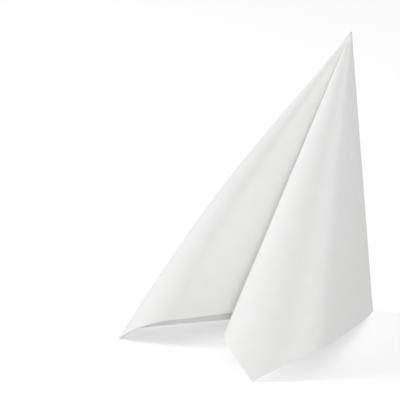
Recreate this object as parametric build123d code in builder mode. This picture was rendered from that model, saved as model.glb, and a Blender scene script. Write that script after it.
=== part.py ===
"""Paper napkin folded into a standing point: one square sheet, one solid."""
import os
from math import atan, cos, radians, sin, tan

from build123d import *

# Napkin folded in half: the first fold lies on top, the open hem below
half_height = 202.4
right_half = half_height * 0.9906
left_half = half_height * 0.9422
ply = 0.4
fold_round = 0.5

# How the folded sheet stands on its middle fold, the spine
spine_skew = 3.2
lean_left = 11.1
lean_back = 2.66
foot_trim = 0.6
free_edge_draw = 5.0

# Right leg: its line on the floor, from the spine out and round the soft roll
right_heading = 34.65
right_bow_angle = 5.74
right_run = half_height * 0.7115
right_roll = half_height * 0.1685
right_sweep_angle = 204.9
right_swell_middle = half_height * 0.0103
right_swell_low = half_height * 0.005

# Left leg, the same sizes
left_heading = 28.83
left_bow_angle = 10.9
left_run = half_height * 0.8458
left_roll = half_height * 0.1112
left_sweep_angle = 189.2
left_swell_middle = half_height * 0.1107
left_swell_low = half_height * 0.0526

# Point of the napkin, where the layers press together
tip_height = 13.0
tip_blunt = 0.6
tip_cover = 0.45
layers_start = 11.0
tuck_start = 40.0

# Strips of sheet in each bent panel, and steps walked along its line on the floor
strips = 10
steps = 120

sheet = 2 * ply
spine = Vector(tan(radians(lean_left)), -tan(radians(lean_back)), -1).normalized()
spine_length = half_height / cos(radians(spine_skew))
foot = Vector(0, 0, -foot_trim)
apex = foot - spine * spine_length


def walk(side, heading, bow, run, roll, sweep):
    """Flat angle, ruling and outward normal at each step from the spine round the roll."""
    point = foot
    angle = radians(heading)
    flat = side * radians(spine_skew)
    ray = spine
    walked = []
    for length, turn in ((run, bow), (roll * radians(sweep), sweep)):
        for step in range(steps + 1):
            along = Vector(side * sin(angle), -cos(angle), 0)
            previous = ray
            ray = (point - apex).normalized()
            flat += radians(previous.get_angle(ray))
            walked.append((flat, ray, (along.cross(ray) * side).normalized()))
            if step < steps:
                middle = angle - radians(turn) / steps / 2
                point += Vector(side * sin(middle), -cos(middle), 0) * (length / steps)
                angle -= radians(turn) / steps
    return walked


def fold_at(walked, side, flat):
    """Ruling and outward normal at a flat angle: plane beyond the roll, up to the free edge."""
    last, ray, out = walked[-1]
    if flat >= last:
        onward = out.cross(ray) * -side
        return ray * cos(flat - last) + onward * sin(flat - last), out
    after = next(i for i in range(1, len(walked)) if walked[i][0] > flat)
    low, low_ray, low_out = walked[after - 1]
    high, high_ray, high_out = walked[after]
    share = (flat - low) / (high - low)
    ray = low_ray + (high_ray - low_ray) * share
    out = low_out + (high_out - low_out) * share
    return ray.normalized(), out.normalized()


def reach(half, flat):
    """Length of the sheet from the apex to its edge: the hem, then the side past the corner."""
    if flat <= atan(half / half_height):
        return half_height / cos(flat)
    return half / sin(flat)


right_walk = walk(1, right_heading, right_bow_angle, right_run, right_roll, right_sweep_angle)
left_walk = walk(-1, left_heading, left_bow_angle, left_run, left_roll, left_sweep_angle)
mitre = (right_walk[0][2] + left_walk[0][2]).normalized()
point_rays = [spine]

with BuildPart() as napkin:
    for side, walked, half, swells in (
        (1, right_walk, right_half, (right_swell_middle, right_swell_low)),
        (-1, left_walk, left_half, (left_swell_middle, left_swell_low)),
    ):
        start, _, start_out = walked[0]
        roll_start = walked[steps][0]
        roll_end = walked[-1][0]
        corner = atan(half / half_height)
        free = radians(90 - free_edge_draw)
        nose = fold_at(walked, side, corner)[0] - spine
        nose_way = Vector(nose.X, nose.Y, 0).normalized()
        folds = sorted((start, roll_start, corner, roll_end))
        bends = zip(folds, folds[1:])
        flats = [low + (high - low) * strip / strips for low, high in bends for strip in range(strips)]
        # Sections of the sheet from the point down to its edge, one at each bend
        for flat in flats + [folds[-1], free]:
            ray, out = fold_at(walked, side, flat)
            swelling = out.dot(nose_way) * sin(2 * flat)
            middle_pull, low_pull = (swell * swelling for swell in swells)
            face = sheet / 2
            if flat == start:
                face = sheet / 2 / mitre.dot(start_out)
                out = mitre
            tucked = max(0, (flat - roll_end) / (free - roll_end))
            top = layers_start + (tuck_start - layers_start) * tucked
            edge = reach(half, flat)
            length = edge - top
            pulls = (
                (top, 0),
                (top + length / 4, 0),
                (top + length / 2, middle_pull),
                (edge - length / 4, low_pull),
                (edge, 0),
            )
            with BuildSketch(Plane(apex, x_dir=ray, z_dir=ray.cross(out))):
                with BuildLine():
                    Bezier([(down, pull + face) for down, pull in reversed(pulls)])
                    Line((top, face), (top, -face))
                    Bezier([(down, pull - face) for down, pull in pulls])
                    Line((edge, -face), (edge, face))
                make_face()
        loft(ruled=True)
        # Rounded fold along the free edge
        ray, out = fold_at(walked, side, free)
        with BuildSketch(Plane(apex + ray * tuck_start, z_dir=ray)):
            Circle(fold_round)
        extrude(amount=reach(half, free) - tuck_start)
        point_rays += [fold_at(walked, side, flat)[0] for flat in flats[strips :: strips // 2]]

    # Point pressed solid
    for depth in (tip_height, tip_blunt):
        level = Plane.XY.offset(apex.Z - depth)
        with BuildSketch(level):
            with BuildLine():
                Polyline([level.to_local_coords(apex - ray * (depth / ray.Z)) for ray in point_rays])
            make_hull()
            offset(amount=sheet / 2 + tip_cover, kind=Kind.INTERSECTION)
    loft(ruled=True)

    # Tips of the hem flattened where they meet the table
    split(bisect_by=Plane.XY, keep=Keep.TOP)

napkin.part.label = "napkin"
os.makedirs("parts", exist_ok=True)
export_step(napkin.part, "parts/napkin.step")
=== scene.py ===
"""Paper napkin folded into a standing point: the sheet itself, its paper and a plain stage."""
from math import atan, comb, cos, pi, radians, sin, tan

import bmesh
import bpy
from bpy.props import FloatProperty, FloatVectorProperty, IntProperty, PointerProperty
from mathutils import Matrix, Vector, noise


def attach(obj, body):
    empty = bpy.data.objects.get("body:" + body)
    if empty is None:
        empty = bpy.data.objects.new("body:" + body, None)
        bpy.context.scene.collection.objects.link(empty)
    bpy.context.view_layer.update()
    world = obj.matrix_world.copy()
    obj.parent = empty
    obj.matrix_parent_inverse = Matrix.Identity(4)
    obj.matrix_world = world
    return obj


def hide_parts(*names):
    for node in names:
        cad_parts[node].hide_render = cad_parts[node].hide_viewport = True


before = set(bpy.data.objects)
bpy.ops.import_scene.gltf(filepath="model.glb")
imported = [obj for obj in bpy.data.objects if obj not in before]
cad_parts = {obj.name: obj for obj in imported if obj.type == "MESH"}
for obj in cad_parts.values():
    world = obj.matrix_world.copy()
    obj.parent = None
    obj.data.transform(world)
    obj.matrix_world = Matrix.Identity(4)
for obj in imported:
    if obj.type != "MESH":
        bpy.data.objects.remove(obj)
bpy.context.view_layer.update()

bl_info = {
    "name": "Standing napkin",
    "version": (1, 0, 0),
    "blender": (4, 5, 0),
    "location": "View3D > Sidebar > Napkin",
    "description": "Folds a square paper napkin into a standing point and sets it on a plain stage",
    "category": "Object",
}

MILLIMETRE = 0.001
RIGHT = 0
LEFT = 1
LAMPS = ("key_lamp", "front_lamp", "back_lamp")
SMOOTH_ANGLE = radians(40)

# Millimetres, as the lens.
SENSOR_WIDTH = 36

# The first row of faces starts at this share of the way from the point to the hem.
TIP_SHARE = 0.012

# Powers of that share: how late the inner layer slips up, the layers part and the hem sinks.
SLIP_POWER = 4
PARTING_POWER = 24
SETTLE_POWER = 2

# The ripple grows with the angle from the spine and with that share, and eases off near the hem.
RIPPLE_FROM_SPINE = 6
RIPPLE_RISE = 1.2
RIPPLE_EASE = 0.5

# The layers part by a noise of their own, finer than the ripple's and taken from another place.
PARTING_SCALE = 1.7
PARTING_PLACE = Vector((3, 5, 7))

# The bulge of a roll is a curve with this many spans between its pulls.
SWELL_SPANS = 4

# Detail of the paper's patches and clumps, and how much of each goes into its height and its white.
CLOUD_DETAIL = 5
CLUMP_DETAIL = 4
CLUMP_ROUGHNESS = 0.7
CLUMP_TWIST = 1.4
FIBRES_IN_HEIGHT = 0.5
CLUMPS_IN_PATCHES = 0.35
FIBRES_IN_WHITE = 0.2
THIN_BELOW = 0.3
THICK_ABOVE = 0.62


def millimetres(*sizes):
    """Sizes in metres, for defaults that are easier to read in millimetres."""
    return tuple(size * MILLIMETRE for size in sizes)


def degrees(*angles):
    """Angles in radians, for defaults that are easier to read in degrees."""
    return tuple(radians(angle) for angle in angles)


def side_of(leg):
    """Sign of a leg's side of the spine."""
    return -1 if leg == LEFT else 1


class NapkinFold(bpy.types.PropertyGroup):
    """The flat napkin and the way it is folded. Pairs are right leg, left leg."""

    half_height: FloatProperty(
        name="Half height", description="First fold to hem, with the napkin folded in half",
        default=202.4 * MILLIMETRE, unit="LENGTH")
    half_width: FloatVectorProperty(
        name="Half width", description="Middle fold to side edge",
        size=2, default=millimetres(200.5, 190.7), unit="LENGTH")
    ply: FloatProperty(
        name="Ply", description="Thickness of one layer of paper",
        default=0.36 * MILLIMETRE, unit="LENGTH")
    ply_pitch: FloatProperty(
        name="Ply pitch", description="Distance between the middles of the two layers",
        default=0.42 * MILLIMETRE, unit="LENGTH")
    hem_gap: FloatProperty(
        name="Hem gap", description="How far the two layers part at the hem, at most",
        default=0.9 * MILLIMETRE, unit="LENGTH")
    hem_slip: FloatProperty(
        name="Hem slip", description="How far the inner layer's hem is drawn up behind the outer one",
        default=0.7 * MILLIMETRE, unit="LENGTH")
    spine_skew: FloatProperty(
        name="Spine skew", description="Turn of the middle fold from square",
        default=radians(3.2), unit="ROTATION")
    lean_left: FloatProperty(
        name="Lean left", description="Lean of the point towards the left leg",
        default=radians(11.1), unit="ROTATION")
    lean_back: FloatProperty(
        name="Lean back", description="Lean of the point away from the legs",
        default=radians(2.66), unit="ROTATION")
    foot_trim: FloatProperty(
        name="Foot trim", description="How far the hem is pressed flat on the table",
        default=0.6 * MILLIMETRE, unit="LENGTH")
    free_edge_draw: FloatProperty(
        name="Free edge draw", description="How far the tucked flaps stop short of the middle fold",
        default=radians(5.0), unit="ROTATION")
    heading: FloatVectorProperty(
        name="Heading", description="Direction of the leg on the table, from straight ahead",
        size=2, default=degrees(35.4, 28.83), unit="ROTATION")
    bow: FloatVectorProperty(
        name="Bow", description="Turn of the leg's wall between the spine and the roll",
        size=2, default=degrees(5.74, 10.9), unit="ROTATION")
    run: FloatVectorProperty(
        name="Run", description="Length of the leg's wall on the table",
        size=2, default=millimetres(144.0, 171.2), unit="LENGTH")
    roll: FloatVectorProperty(
        name="Roll", description="Radius of the soft roll at the table",
        size=2, default=millimetres(34.1, 22.5), unit="LENGTH")
    sweep: FloatVectorProperty(
        name="Sweep", description="Turn of the soft roll",
        size=2, default=degrees(204.9, 189.2), unit="ROTATION")
    roll_onset: FloatVectorProperty(
        name="Roll onset", description="How far before and after its start the roll tightens",
        size=2, min=0.01 * MILLIMETRE, default=millimetres(20.0, 6.0), unit="LENGTH")
    swell_middle: FloatVectorProperty(
        name="Swell middle", description="Bulge of the roll, pulled half way down",
        size=2, default=millimetres(2.1, 22.4), unit="LENGTH")
    swell_low: FloatVectorProperty(
        name="Swell low", description="Bulge of the roll, pulled three quarters of the way down",
        size=2, default=millimetres(1.0, 10.6), unit="LENGTH")
    settle: FloatVectorProperty(
        name="Settle", description="Share of the gap under the wall's hem that has sunk to the table",
        size=2, min=0, max=1, default=(0.0, 1.0))
    ripple: FloatProperty(
        name="Ripple", description="Height of the slow unevenness of the paper",
        default=0.5 * MILLIMETRE, unit="LENGTH")
    ripple_size: FloatProperty(
        name="Ripple size", description="Size of the slow unevenness of the paper",
        default=55.0 * MILLIMETRE, unit="LENGTH")
    wall_columns: IntProperty(
        name="Wall columns", description="Columns of faces across a wall",
        default=28, min=2)
    roll_columns: IntProperty(
        name="Roll columns", description="Columns of faces round half a roll",
        default=26, min=4)
    flap_columns: IntProperty(
        name="Flap columns", description="Columns of faces across a flap",
        default=8, min=2)
    edge_columns: IntProperty(
        name="Edge columns", description="Columns of faces round the first fold",
        default=4, min=2)
    rows: IntProperty(
        name="Rows", description="Rows of faces from the point to the hem",
        default=64, min=8)
    walk_steps: IntProperty(
        name="Walk steps", description="Steps along each stretch on the table",
        default=240, min=20)


class NapkinPaper(bpy.types.PropertyGroup):
    """Airlaid paper: soft white, with a faint web of fibres."""

    colour: FloatVectorProperty(
        name="Colour", description="White of the paper",
        size=3, subtype="COLOR", min=0, max=1, default=(0.9, 0.9, 0.893))
    thin_colour: FloatVectorProperty(
        name="Thin colour", description="Where the fibres lie thinner",
        size=3, subtype="COLOR", min=0, max=1, default=(0.872, 0.872, 0.866))
    roughness: FloatProperty(
        name="Roughness", description="Dull, dry surface",
        default=0.92, min=0, max=1)
    sheen: FloatProperty(
        name="Sheen", description="Soft light caught by loose fibres",
        default=0.12, min=0, max=1)
    sheen_roughness: FloatProperty(
        name="Sheen roughness", description="Spread of the light caught by loose fibres",
        default=0.6, min=0, max=1)
    gloss: FloatProperty(
        name="Gloss", description="Strength of the dull shine",
        default=0.2, min=0, max=1)
    cloud_per_sheet: FloatProperty(
        name="Clouds per sheet", description="Thick and thin patches across the width of the sheet",
        default=34.0, min=1)
    clumps_per_sheet: FloatProperty(
        name="Clumps per sheet", description="Clumps of fibres across the width of the sheet",
        default=330.0, min=1)
    fibres_per_sheet: FloatProperty(
        name="Fibres per sheet", description="Fibres across the width of the sheet",
        default=620.0, min=1)
    fibre_width: FloatProperty(
        name="Fibre width", description="Width of a fibre as a share of the gap between fibres",
        default=0.16, min=0)
    fibre_stray: FloatProperty(
        name="Fibre stray", description="How far fibres bend away, as a share of the sheet",
        default=0.004, min=0)
    fibre_depth: FloatProperty(
        name="Fibre depth", description="Height of the fibres",
        default=0.035 * MILLIMETRE, unit="LENGTH")


class NapkinStage(bpy.types.PropertyGroup):
    """Floor, light and camera."""

    floor_size: FloatProperty(
        name="Floor size", description="Side of the floor",
        default=20.0, unit="LENGTH")
    floor_colour: FloatVectorProperty(
        name="Floor colour", description="Pale table top",
        size=3, subtype="COLOR", min=0, max=1, default=(0.8, 0.8, 0.8))
    floor_roughness: FloatProperty(
        name="Floor roughness", description="Dull table top",
        default=0.95, min=0, max=1)
    floor_glow: FloatProperty(
        name="Floor glow", description="Lift that makes the background white to the camera",
        default=0.525, min=0)
    sky: FloatProperty(
        name="Sky", description="Strength of the light from all round",
        default=0.31, min=0)
    lamp_turn: FloatVectorProperty(
        name="Lamp turn", description="Direction of each lamp round the napkin, from straight ahead",
        size=3, default=degrees(-54, 48, 130), unit="ROTATION")
    lamp_rise: FloatVectorProperty(
        name="Lamp rise", description="Direction of each lamp above the table",
        size=3, default=degrees(22, 9, 10), unit="ROTATION")
    lamp_power: FloatVectorProperty(
        name="Lamp power", description="Power of each lamp",
        size=3, default=(88.0, 81.0, 38.5), unit="POWER")
    lamp_distance: FloatProperty(
        name="Lamp distance", description="Distance of the lamps from what they light",
        default=4.0, unit="LENGTH")
    lamp_size: FloatProperty(
        name="Lamp size", description="Side of each lamp",
        default=1.2, unit="LENGTH")
    target: FloatVectorProperty(
        name="Target", description="Point that the lamps face",
        size=3, subtype="XYZ", unit="LENGTH", default=(0.0, -0.09, 0.07))
    camera_place: FloatVectorProperty(
        name="Camera place", description="Place of the camera",
        size=3, subtype="XYZ", unit="LENGTH", default=(0.8741, -0.8213, 0.3688))
    camera_pitch: FloatProperty(
        name="Camera pitch", description="How far the camera looks down",
        default=radians(13.5), unit="ROTATION")
    camera_heading: FloatProperty(
        name="Camera heading", description="Turn of the camera about the vertical",
        default=radians(52.76), unit="ROTATION")
    lens: FloatProperty(
        name="Lens", description="Focal length in millimetres",
        default=154.85)


def floor_walk(fold, leg):
    """Flat angle, ruling and outward normal at each step on the table, from the spine round the roll.

    The path is nearly straight along the wall, and tightens to the roll's curl over the roll's onset.
    """
    side = side_of(leg)
    foot, spine, apex = spine_line(fold)
    point = foot.copy()
    angle = fold.heading[leg]
    flat = side * fold.spine_skew
    ray = spine
    walked = []
    wall_curl = fold.bow[leg] / fold.run[leg]
    roll_curl = 1 / fold.roll[leg]
    gone = -fold.run[leg]
    for length in (fold.run[leg], fold.roll[leg] * fold.sweep[leg]):
        stride = length / fold.walk_steps
        for step in range(fold.walk_steps + 1):
            along = Vector((side * sin(angle), -cos(angle), 0))
            previous = ray
            ray = (point - apex).normalized()
            flat += previous.angle(ray, 0)
            walked.append((flat, ray, (along.cross(ray) * side).normalized()))
            if step < fold.walk_steps:
                onset = (gone + stride / 2) / (2 * fold.roll_onset[leg]) + 0.5
                turn = stride * (wall_curl + (roll_curl - wall_curl) * min(max(onset, 0), 1))
                middle = angle - turn / 2
                point += Vector((side * sin(middle), -cos(middle), 0)) * stride
                angle -= turn
                gone += stride
    return walked


def spine_line(fold):
    """Foot, direction and top of the middle fold."""
    spine = Vector((tan(fold.lean_left), -tan(fold.lean_back), -1)).normalized()
    foot = Vector((0, 0, -fold.foot_trim))
    return foot, spine, foot - spine * (fold.half_height / cos(fold.spine_skew))


def fold_at(walked, side, flat):
    """Ruling, outward normal and way onward at a flat angle. Beyond the roll the flap is plane."""
    last, ray, out = walked[-1]
    if flat < last:
        after = next(i for i in range(1, len(walked)) if walked[i][0] > flat)
        low, low_ray, low_out = walked[after - 1]
        high, high_ray, high_out = walked[after]
        share = (flat - low) / (high - low)
        ray = low_ray.lerp(high_ray, share).normalized()
        out = low_out.lerp(high_out, share).normalized()
        return ray, out, out.cross(ray) * -side
    onward = out.cross(ray) * -side
    beyond = flat - last
    return ray * cos(beyond) + onward * sin(beyond), out, onward * cos(beyond) - ray * sin(beyond)


def corner_angle(fold, leg):
    """Flat angle of the sheet's corner, seen from the point."""
    return atan(fold.half_width[leg] / fold.half_height)


def reach(fold, leg, flat):
    """Length of the sheet from the point to its edge: the hem, then the side past the corner."""
    if flat <= corner_angle(fold, leg):
        return fold.half_height / cos(flat)
    return fold.half_width[leg] / sin(flat)


def leg_columns(fold, leg, mitre):
    """Columns of one leg from the spine out, round the first fold and back, and the way its roll points.

    A column is its flat angle, its turn round the first fold, its ruling, its normal and the way onward.
    """
    side = side_of(leg)
    walked = floor_walk(fold, leg)
    start, _, start_out = walked[0]
    roll_start = walked[fold.walk_steps][0]
    roll_end = walked[-1][0]
    corner = corner_angle(fold, leg)
    free = pi / 2 - fold.free_edge_draw
    stretches = (
        (start, roll_start, fold.wall_columns),
        (roll_start, corner, fold.roll_columns),
        (corner, roll_end, fold.roll_columns),
        (roll_end, free, fold.flap_columns),
    )
    flats = [low + (high - low) * i / count for low, high, count in stretches for i in range(count)]
    outer = []
    for flat in flats:
        ray, out, onward = fold_at(walked, side, flat)
        if flat == start:
            out = mitre / mitre.dot(start_out)
        outer.append((flat, 0.0, ray, out, onward))
    ray, out, onward = fold_at(walked, side, free)
    edge = [(free, pi * i / fold.edge_columns, ray, out, onward) for i in range(fold.edge_columns + 1)]
    inner = [(flat, pi, ray, out, onward) for flat, _, ray, out, onward in reversed(outer)]
    nose = fold_at(walked, side, corner)[0] - walked[0][1]
    return outer + edge + inner, Vector((nose.x, nose.y, 0)).normalized()


def swell_at(fold, leg, share):
    """Bulge of a roll at a share of the way from the point to the hem."""
    middle = comb(SWELL_SPANS, 2) * (share * (1 - share)) ** 2
    low = comb(SWELL_SPANS, 3) * share ** 3 * (1 - share)
    return middle * fold.swell_middle[leg] + low * fold.swell_low[leg]


def folded_place(fold, leg, column, nose, share):
    """Place of a point of the sheet after folding, and its place on the flat sheet."""
    side = side_of(leg)
    flat, turn, ray, out, onward = column
    inner = (1 - cos(turn)) / 2
    down = reach(fold, leg, flat) * share - fold.hem_slip * inner * share ** SLIP_POWER
    facing = max(out.dot(nose), 0) ** 2 * sin(2 * flat)
    swell = facing * swell_at(fold, leg, share)
    paper = Vector((side * down * sin(flat), down * cos(flat), 0))
    grown = min(1, RIPPLE_FROM_SPINE * (flat - side * fold.spine_skew))
    grown *= share * (RIPPLE_RISE - RIPPLE_EASE * share)
    ripple = fold.ripple * grown * noise.noise(paper / fold.ripple_size)
    wave = noise.noise(paper / fold.ripple_size * PARTING_SCALE + PARTING_PLACE)
    parting = fold.hem_gap * share ** PARTING_POWER * (1 + wave) / 2
    layer = (fold.ply_pitch + parting * (1 - abs(cos(turn) - cos(turn) ** 3))) / 2
    _, _, apex = spine_line(fold)
    place = apex + ray * down + out * (swell + ripple + cos(turn) * layer) + onward * (sin(turn) * layer)
    if flat < corner_angle(fold, leg):
        hem = apex + ray * reach(fold, leg, flat)
        sunk = max(hem.z, 0) + fold.foot_trim
        place.z -= fold.settle[leg] * sunk * share ** SETTLE_POWER
    place.z = max(place.z, fold.ply / 2)
    return place, Vector((side * down * sin(flat), down * cos(flat) * cos(turn)))


def folded_sheet(fold):
    """The folded napkin as one mesh: two layers that join along the first fold."""
    mitre = (floor_walk(fold, RIGHT)[0][2] + floor_walk(fold, LEFT)[0][2]).normalized()
    right, right_nose = leg_columns(fold, RIGHT, mitre)
    left, left_nose = leg_columns(fold, LEFT, mitre)
    ring = [(RIGHT, column, right_nose) for column in right]
    ring += [(LEFT, column, left_nose) for column in left[-2:0:-1]]
    mesh = bpy.data.meshes.new("napkin_sheet")
    build = bmesh.new()
    uv = build.loops.layers.uv.new("flat_sheet")
    flat_places = {}
    columns = []
    for leg, column, nose in ring:
        verts = []
        for row in range(fold.rows):
            share = TIP_SHARE + (1 - TIP_SHARE) * row / (fold.rows - 1)
            place, flat_place = folded_place(fold, leg, column, nose, share)
            vert = build.verts.new(place)
            flat_places[vert] = flat_place
            verts.append(vert)
        columns.append(verts)
    point = build.verts.new(spine_line(fold)[2])
    flat_places[point] = Vector((0, 0))
    for here, there in zip(columns, columns[1:] + columns[:1]):
        build.faces.new((point, here[0], there[0]))
        for row in range(fold.rows - 1):
            build.faces.new((here[row], here[row + 1], there[row + 1], there[row]))
    width = sum(fold.half_width)
    for face in build.faces:
        for loop in face.loops:
            flat_place = flat_places[loop.vert]
            loop[uv].uv = (0.5 + flat_place.x / width, 0.5 + flat_place.y / (2 * fold.half_height))
    build.to_mesh(mesh)
    build.free()
    return mesh


def paper_material(paper):
    """White airlaid paper: a cloudy web of fine fibres on the flat sheet's own coordinates."""
    material = bpy.data.materials.new("airlaid_paper")
    material.use_nodes = True
    nodes = material.node_tree.nodes
    links = material.node_tree.links
    shader = nodes["Principled BSDF"]
    shader.inputs["Roughness"].default_value = paper.roughness
    shader.inputs["Specular IOR Level"].default_value = paper.gloss
    shader.inputs["Sheen Weight"].default_value = paper.sheen
    shader.inputs["Sheen Roughness"].default_value = paper.sheen_roughness

    flat = nodes.new("ShaderNodeUVMap")
    flat.uv_map = "flat_sheet"
    clouds = nodes.new("ShaderNodeTexNoise")
    clouds.inputs["Scale"].default_value = paper.cloud_per_sheet
    clouds.inputs["Detail"].default_value = CLOUD_DETAIL
    clumps = nodes.new("ShaderNodeTexNoise")
    clumps.inputs["Scale"].default_value = paper.clumps_per_sheet
    clumps.inputs["Detail"].default_value = CLUMP_DETAIL
    clumps.inputs["Roughness"].default_value = CLUMP_ROUGHNESS
    clumps.inputs["Distortion"].default_value = CLUMP_TWIST
    strayed = nodes.new("ShaderNodeVectorMath")
    strayed.operation = "MULTIPLY_ADD"
    strayed.inputs[1].default_value = (paper.fibre_stray,) * 3
    web = nodes.new("ShaderNodeTexVoronoi")
    web.feature = "DISTANCE_TO_EDGE"
    web.inputs["Scale"].default_value = paper.fibres_per_sheet
    fibres = nodes.new("ShaderNodeMapRange")
    fibres.interpolation_type = "SMOOTHSTEP"
    fibres.inputs["From Max"].default_value = paper.fibre_width
    fibres.inputs["To Min"].default_value = 1
    fibres.inputs["To Max"].default_value = 0
    height = nodes.new("ShaderNodeMath")
    height.operation = "MULTIPLY_ADD"
    height.inputs[1].default_value = FIBRES_IN_HEIGHT
    patches = nodes.new("ShaderNodeMix")
    patches.inputs["Factor"].default_value = CLUMPS_IN_PATCHES
    white = nodes.new("ShaderNodeMix")
    white.inputs["Factor"].default_value = FIBRES_IN_WHITE
    tint = nodes.new("ShaderNodeValToRGB")
    tint.color_ramp.elements[0].position = THIN_BELOW
    tint.color_ramp.elements[0].color = (*paper.thin_colour, 1)
    tint.color_ramp.elements[1].position = THICK_ABOVE
    tint.color_ramp.elements[1].color = (*paper.colour, 1)
    relief = nodes.new("ShaderNodeBump")
    relief.inputs["Distance"].default_value = paper.fibre_depth

    links.new(flat.outputs["UV"], clouds.inputs["Vector"])
    links.new(flat.outputs["UV"], clumps.inputs["Vector"])
    links.new(clumps.outputs["Color"], strayed.inputs[0])
    links.new(flat.outputs["UV"], strayed.inputs[2])
    links.new(strayed.outputs["Vector"], web.inputs["Vector"])
    links.new(web.outputs["Distance"], fibres.inputs["Value"])
    links.new(fibres.outputs["Result"], height.inputs[0])
    links.new(clumps.outputs["Fac"], height.inputs[2])
    links.new(clouds.outputs["Fac"], patches.inputs["A"])
    links.new(clumps.outputs["Fac"], patches.inputs["B"])
    links.new(patches.outputs["Result"], white.inputs["A"])
    links.new(fibres.outputs["Result"], white.inputs["B"])
    links.new(white.outputs["Result"], tint.inputs["Fac"])
    links.new(tint.outputs["Color"], shader.inputs["Base Color"])
    links.new(height.outputs["Value"], relief.inputs["Height"])
    links.new(relief.outputs["Normal"], shader.inputs["Normal"])
    return material


def floor_material(stage):
    """White table top that keeps the shadow and looks white to the camera."""
    material = bpy.data.materials.new("white_table")
    material.use_nodes = True
    nodes = material.node_tree.nodes
    links = material.node_tree.links
    shader = nodes["Principled BSDF"]
    shader.inputs["Base Color"].default_value = (*stage.floor_colour, 1)
    shader.inputs["Roughness"].default_value = stage.floor_roughness
    shader.inputs["Specular IOR Level"].default_value = 0.0
    shader.inputs["Emission Color"].default_value = (1, 1, 1, 1)
    rays = nodes.new("ShaderNodeLightPath")
    glow = nodes.new("ShaderNodeMath")
    glow.operation = "MULTIPLY"
    glow.inputs[1].default_value = stage.floor_glow
    links.new(rays.outputs["Is Camera Ray"], glow.inputs[0])
    links.new(glow.outputs["Value"], shader.inputs["Emission Strength"])
    return material


class NAPKIN_OT_fold(bpy.types.Operator):
    """Fold the square sheet into a standing point"""

    bl_idname = "napkin.fold"
    bl_label = "Fold napkin"

    def execute(self, context):
        fold = context.scene.napkin_fold
        bpy.ops.object.select_all(action="DESELECT")
        napkin = bpy.data.objects.new("folded_napkin", folded_sheet(fold))
        context.collection.objects.link(napkin)
        context.view_layer.objects.active = napkin
        napkin.select_set(True)
        bpy.ops.object.mode_set(mode="EDIT")
        bpy.ops.mesh.select_all(action="SELECT")
        bpy.ops.mesh.normals_make_consistent(inside=False)
        bpy.ops.object.mode_set(mode="OBJECT")
        wall = napkin.modifiers.new("paper_thickness", "SOLIDIFY")
        wall.thickness = fold.ply
        wall.offset = 0
        bpy.ops.object.modifier_apply(modifier=wall.name)
        for vert in napkin.data.vertices:
            vert.co.z = max(vert.co.z, 0)
        bpy.ops.object.shade_smooth_by_angle(angle=SMOOTH_ANGLE)
        napkin.data.materials.append(paper_material(context.scene.napkin_paper))
        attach(napkin, "root")
        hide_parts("napkin")
        return {"FINISHED"}


class NAPKIN_OT_stage(bpy.types.Operator):
    """Set the floor, the light and the camera"""

    bl_idname = "napkin.stage"
    bl_label = "Set stage"

    def execute(self, context):
        scene = context.scene
        stage = scene.napkin_stage
        scene.view_settings.view_transform = "Standard"
        bpy.ops.object.select_all(action="DESELECT")
        bpy.ops.mesh.primitive_plane_add(size=stage.floor_size)
        floor = context.active_object
        floor.name = "floor"
        floor.data.materials.append(floor_material(stage))

        world = bpy.data.worlds.new("soft_room")
        world.use_nodes = True
        sky = world.node_tree.nodes["Background"]
        sky.inputs["Color"].default_value = (1, 1, 1, 1)
        sky.inputs["Strength"].default_value = stage.sky
        scene.world = world

        lamps = zip(LAMPS, stage.lamp_turn, stage.lamp_rise, stage.lamp_power)
        for name, turn, rise, power in lamps:
            facing = Vector((-cos(rise) * sin(turn), cos(rise) * cos(turn), -sin(rise)))
            stand = Vector(stage.target) - facing * stage.lamp_distance
            bpy.ops.object.light_add(type="AREA", location=stand)
            lamp = context.active_object
            lamp.name = name
            lamp.rotation_euler = facing.to_track_quat("-Z", "Y").to_euler()
            lamp.data.shape = "SQUARE"
            lamp.data.size = stage.lamp_size
            lamp.data.energy = power

        turned = (pi / 2 - stage.camera_pitch, 0, stage.camera_heading)
        bpy.ops.object.camera_add(location=stage.camera_place, rotation=turned)
        camera = context.active_object
        camera.name = "camera"
        camera.data.sensor_width = SENSOR_WIDTH
        camera.data.lens = stage.lens
        scene.camera = camera
        return {"FINISHED"}


class NAPKIN_PT_panel(bpy.types.Panel):
    """Sizes of the fold, the paper and the stage"""

    bl_idname = "NAPKIN_PT_panel"
    bl_label = "Standing napkin"
    bl_space_type = "VIEW_3D"
    bl_region_type = "UI"
    bl_category = "Napkin"

    def draw(self, context):
        scene = context.scene
        for group, operator in (
            (scene.napkin_fold, NAPKIN_OT_fold.bl_idname),
            (scene.napkin_paper, None),
            (scene.napkin_stage, NAPKIN_OT_stage.bl_idname),
        ):
            box = self.layout.box()
            for name in group.bl_rna.properties.keys():
                if name not in ("rna_type", "name"):
                    box.prop(group, name)
            if operator:
                box.operator(operator)


CLASSES = (NapkinFold, NapkinPaper, NapkinStage, NAPKIN_OT_fold, NAPKIN_OT_stage, NAPKIN_PT_panel)


def register():
    for entry in CLASSES:
        bpy.utils.register_class(entry)
    bpy.types.Scene.napkin_fold = PointerProperty(type=NapkinFold)
    bpy.types.Scene.napkin_paper = PointerProperty(type=NapkinPaper)
    bpy.types.Scene.napkin_stage = PointerProperty(type=NapkinStage)


def unregister():
    del bpy.types.Scene.napkin_stage
    del bpy.types.Scene.napkin_paper
    del bpy.types.Scene.napkin_fold
    for entry in reversed(CLASSES):
        bpy.utils.unregister_class(entry)


def main():
    register()
    bpy.ops.napkin.stage()
    bpy.ops.napkin.fold()


if __name__ == "__main__":
    main()
